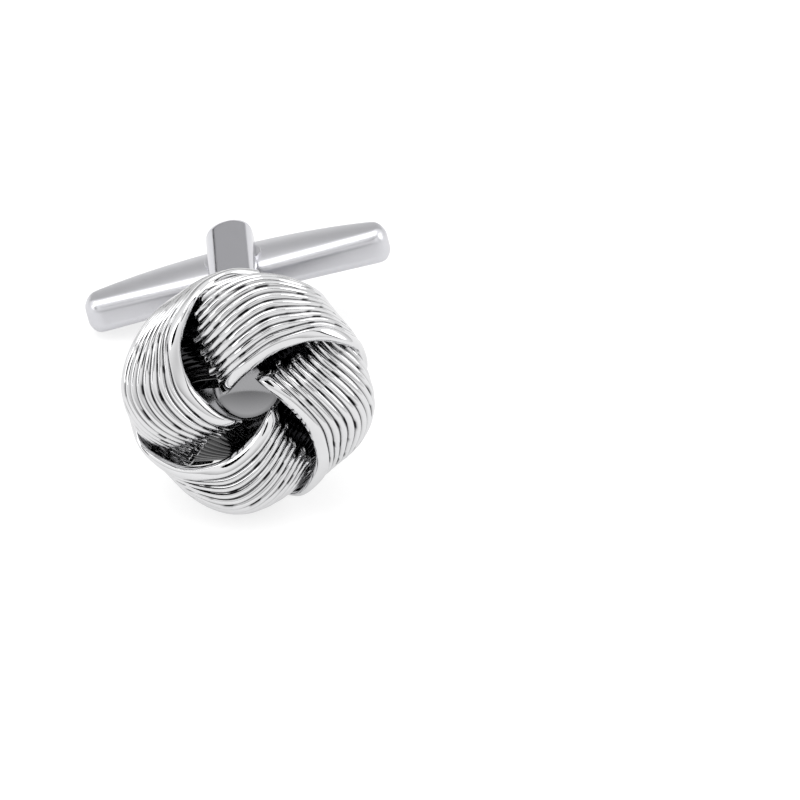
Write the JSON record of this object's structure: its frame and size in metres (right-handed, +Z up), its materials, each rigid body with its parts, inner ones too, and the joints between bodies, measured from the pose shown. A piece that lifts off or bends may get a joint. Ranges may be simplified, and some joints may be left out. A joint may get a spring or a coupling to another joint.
{
  "type": "cufflink",
  "caption": "Love-knot cufflink of interlaced ribbed bands on a forked post, closed by a swivelling toggle bar.",
  "frame": {"origin": "centre of the footprint on the surface that the cufflink lies on", "axes": "+Z up; +Y from the knot's face back along the post; +X to the right of someone facing the knot"},
  "size_m": [0.0206, 0.0288, 0.016],
  "materials": {
    "bright_plating": "mirror-bright silver plating",
    "pin_steel": "ground steel"
  },
  "bodies": {
    "knot_and_post": {"knot_band_1": "bright_plating", "knot_band_2": "bright_plating", "knot_band_3": "bright_plating", "knot_band_4": "bright_plating", "back_plate": "bright_plating", "centre_stud": "bright_plating", "post_fork": "bright_plating", "hinge_pin": "pin_steel", "spring_washer": "pin_steel"},
    "toggle": {"toggle_bar": "bright_plating"}
  },
  "joints": [
    {"name": "toggle_swivel", "type": "hinge", "parent": "knot_and_post", "child": "toggle", "pos_m": [0, 0.01032, 0.00339], "axis": [-0.2267, 0.2216, 0.9484], "range_deg": [-90, 90]}
  ]
}
